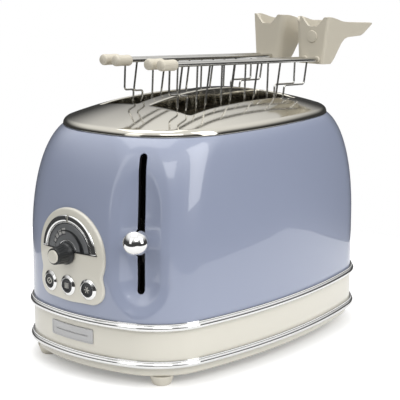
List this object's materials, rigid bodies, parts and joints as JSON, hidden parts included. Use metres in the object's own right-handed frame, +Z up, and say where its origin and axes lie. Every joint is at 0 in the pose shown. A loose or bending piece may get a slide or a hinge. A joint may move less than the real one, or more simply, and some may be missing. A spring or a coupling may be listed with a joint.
{
  "type": "toaster",
  "caption": "Toaster with rounded body, domed metal top, bread slots, lift lever, browning dial, push buttons, crumb tray and lift-out sandwich tongs.",
  "frame": {"origin": "on the worktop, below the middle of the body's outline", "axes": "+X from the control end to the back end with the tong handles, +Y across from the near side to the far side, +Z up"},
  "size_m": [0.3651, 0.2004, 0.2722],
  "materials": {
    "body_enamel": "glossy blue-grey enamel",
    "cream": "glossy cream",
    "steel": "brushed",
    "chrome": "polished",
    "black": "satin black",
    "scale_grey": "matt grey",
    "board_mica": "matt mica",
    "circuit_green": "matt board",
    "rubber_cream": "matt",
    "zinc_sheet": "plain sheet",
    "ribbon": "dull resistance ribbon"
  },
  "bodies": {
    "toaster": {"body_shell": "body_enamel", "top_plate": "steel", "base_band": "cream", "upper_trim_ring": "chrome", "lower_trim_ring": "chrome", "base_pan": "cream", "front_near_foot": "rubber_cream", "front_far_foot": "rubber_cream", "rear_near_foot": "rubber_cream", "rear_far_foot": "rubber_cream", "base_screws": "zinc_sheet", "name_plate": "chrome", "cord_gland": "black", "control_bezel": "cream", "dial_arc": "chrome", "dial_scale": "scale_grey", "button_rings": "chrome", "browning_control": "black", "control_board": "circuit_green", "button_switches": "black", "front_frame": "zinc_sheet", "rear_frame": "zinc_sheet", "near_heater_board": "board_mica", "centre_heater_board": "board_mica", "far_heater_board": "board_mica", "near_heater_winding": "ribbon", "centre_heater_winding": "ribbon", "far_heater_winding": "ribbon", "near_bread_guard": "zinc_sheet", "far_bread_guard": "zinc_sheet", "guide_rods": "chrome", "carriage_spring": "steel", "latch_magnet": "zinc_sheet"},
    "lever_group": {"carriage": "zinc_sheet", "lever_ball": "chrome", "near_bread_rack": "zinc_sheet", "far_bread_rack": "zinc_sheet"},
    "browning_group": {"browning_knob": "black", "knob_cap": "cream"},
    "cancel_group": {"cancel_button": "black"},
    "reheat_group": {"reheat_button": "black"},
    "defrost_group": {"defrost_button": "black"},
    "tray_group": {"crumb_tray": "zinc_sheet"},
    "near_tong_base": {"near_tong_near_jaw": "steel", "near_tong_near_tip": "cream", "near_tong_near_handle": "cream", "near_tong_pivot_pin": "chrome", "near_tong_spring": "steel"},
    "near_tong_swing": {"near_tong_far_jaw": "steel", "near_tong_far_tip": "cream", "near_tong_far_handle": "cream"},
    "far_tong_base": {"far_tong_near_jaw": "steel", "far_tong_near_tip": "cream", "far_tong_near_handle": "cream", "far_tong_pivot_pin": "chrome", "far_tong_spring": "steel"},
    "far_tong_swing": {"far_tong_far_jaw": "steel", "far_tong_far_tip": "cream", "far_tong_far_handle": "cream"}
  },
  "joints": [
    {"name": "lever_slide", "type": "slide", "parent": "toaster", "child": "lever_group", "axis": [0, 0, 1], "range_m": [-0.034, 0.055], "stiffness_N_per_m": 200, "springref_m": 0.011, "deforming": ["carriage_spring"]},
    {"name": "browning_turn", "type": "hinge", "parent": "toaster", "child": "browning_group", "pos_m": [-0.16, 0.0075, 0.1], "axis": [-1, 0, 0], "range_deg": [-80, 80]},
    {"name": "cancel_press", "type": "slide", "parent": "toaster", "child": "cancel_group", "axis": [1, 0, 0], "range_m": [0, 0.0025], "stiffness_N_per_m": 400, "springref_m": -0.001},
    {"name": "reheat_press", "type": "slide", "parent": "toaster", "child": "reheat_group", "axis": [1, 0, 0], "range_m": [0, 0.0025], "stiffness_N_per_m": 400, "springref_m": -0.001},
    {"name": "defrost_press", "type": "slide", "parent": "toaster", "child": "defrost_group", "axis": [1, 0, 0], "range_m": [0, 0.0025], "stiffness_N_per_m": 400, "springref_m": -0.001},
    {"name": "tray_slide", "type": "slide", "parent": "toaster", "child": "tray_group", "axis": [1, 0, 0], "range_m": [0, 0.12]},
    {"name": "near_tong_lift", "type": "slide", "parent": "toaster", "child": "near_tong_base", "axis": [0.0541, 0, 0.9985], "range_m": [0, 0.1]},
    {"name": "near_tong_open", "type": "hinge", "parent": "near_tong_base", "child": "near_tong_swing", "pos_m": [0.11292, -0.0375, 0.25421], "axis": [0.9985, 0, -0.0541], "range_deg": [0, 8], "stiffness_Nm_per_rad": 0.3, "springref_deg": -17.19},
    {"name": "far_tong_lift", "type": "slide", "parent": "toaster", "child": "far_tong_base", "axis": [0.0541, 0, 0.9985], "range_m": [0, 0.1]},
    {"name": "far_tong_open", "type": "hinge", "parent": "far_tong_base", "child": "far_tong_swing", "pos_m": [0.11842, 0.015, 0.25421], "axis": [0.9985, 0, -0.0541], "range_deg": [0, 8], "stiffness_Nm_per_rad": 0.3, "springref_deg": -17.19}
  ]
}
